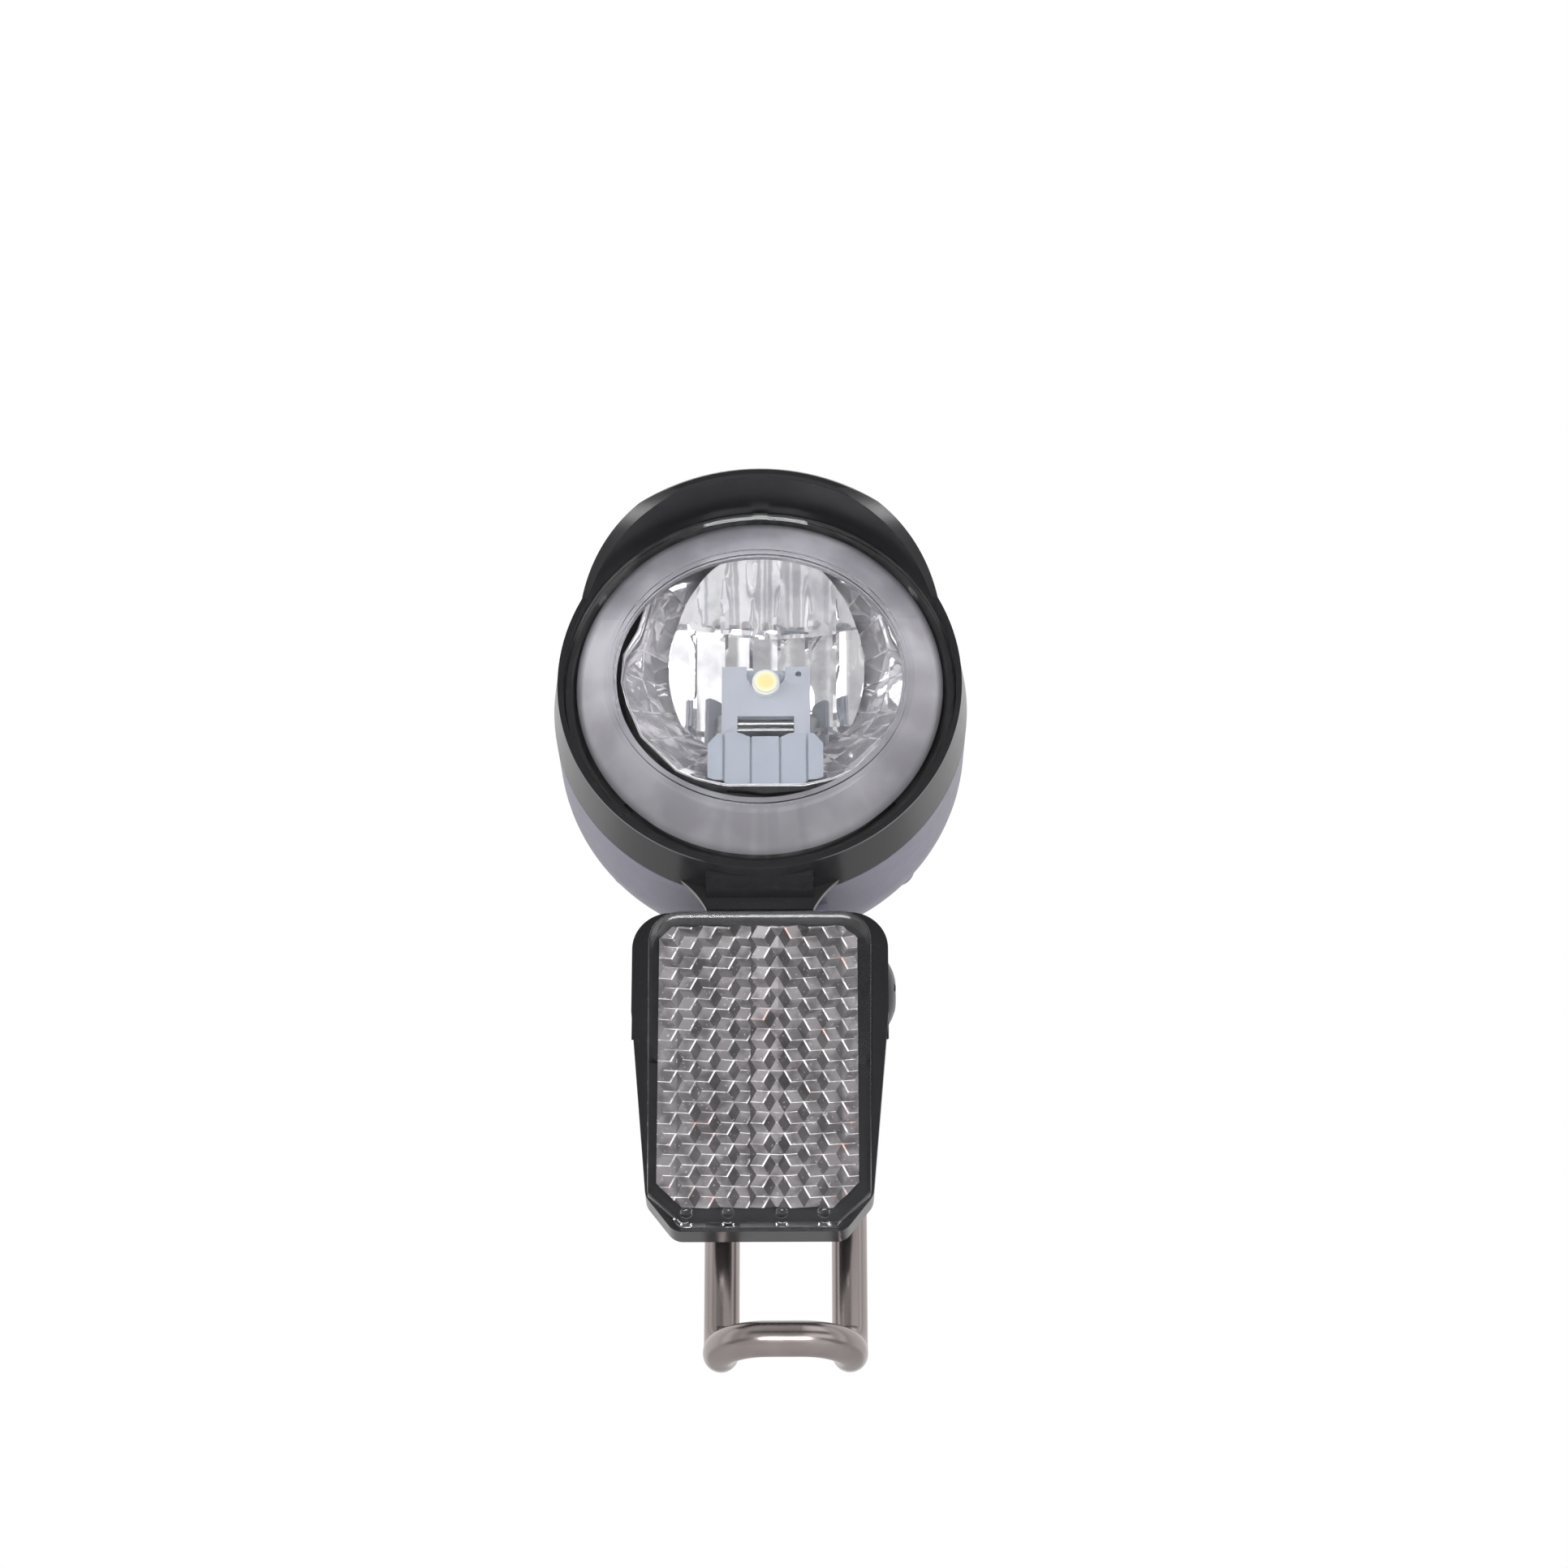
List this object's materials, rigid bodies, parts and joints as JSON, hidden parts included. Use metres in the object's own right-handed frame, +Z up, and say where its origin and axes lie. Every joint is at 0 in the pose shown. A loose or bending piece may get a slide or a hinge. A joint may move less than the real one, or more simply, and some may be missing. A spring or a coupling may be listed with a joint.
{
  "type": "bicycle headlight",
  "caption": "Round hooded bicycle headlight with a separate clear prism reflector below it, on a bent wire bracket it tilts on.",
  "frame": {"origin": "centre of the wire bracket's foot loop, where the mounting bolt goes", "axes": "+Z up along the bracket's legs, +Y backwards along the cable inlet, the lamp shines towards -Y"},
  "size_m": [0.06, 0.0555, 0.1263],
  "materials": {
    "wire": "satin stainless, brushed along the wire",
    "black_shell": "fine satin moulding",
    "lens_clear": "clear, with a frosted sloping ring",
    "seal_rubber": "matt",
    "grey_shell": "satin moulding",
    "mirror_bowl": "vacuum metallised, faceted",
    "inner_black": "matt",
    "pale_plate": "pale blue-grey satin",
    "board_white": "solder mask",
    "led_white": "ceramic",
    "phosphor": "silicone gel",
    "contact_steel": "tinned",
    "shroud_grey": "satin",
    "cast_alloy": "bare casting",
    "board_green": "solder mask",
    "can_sleeve": "bare can",
    "coil_dark": "ferrite",
    "chip_black": "moulded",
    "switch_black": "satin",
    "inlet_rubber": "matt",
    "screw_steel": "zinc plated",
    "prism_clear": "clear, prisms on the back",
    "pivot_steel": "zinc plated, slightly dull"
  },
  "bodies": {
    "bracket": {"bracket_wire": "wire"},
    "lamp": {"front_bezel": "black_shell", "front_lens": "lens_clear", "lens_gasket": "seal_rubber", "housing_seal": "seal_rubber", "rear_housing": "grey_shell", "reflector_bowl": "mirror_bowl", "inner_frame": "inner_black", "led_carrier": "pale_plate", "led_board": "board_white", "led_package": "led_white", "led_phosphor": "phosphor", "contact_bars": "contact_steel", "led_shroud": "shroud_grey", "heat_sink": "cast_alloy", "driver_board": "board_green", "buffer_capacitor": "can_sleeve", "inductor": "coil_dark", "board_chips": "chip_black", "switch_block": "switch_black", "cable_grommet": "inlet_rubber", "housing_screws": "screw_steel", "reflector_carrier": "black_shell", "prism_reflector": "prism_clear", "pivot_screw": "pivot_steel", "pivot_nut": "pivot_steel"},
    "switch": {"switch_slider": "switch_black"}
  },
  "joints": [
    {"name": "lamp_tilt", "type": "hinge", "parent": "bracket", "child": "lamp", "pos_m": [0, 0.00052, 0.0534], "axis": [1, 0, 0], "range_deg": [-25, 10]},
    {"name": "switch_slide", "type": "slide", "parent": "lamp", "child": "switch", "axis": [1, 0, 0], "range_m": [-0.002, 0.002]}
  ]
}
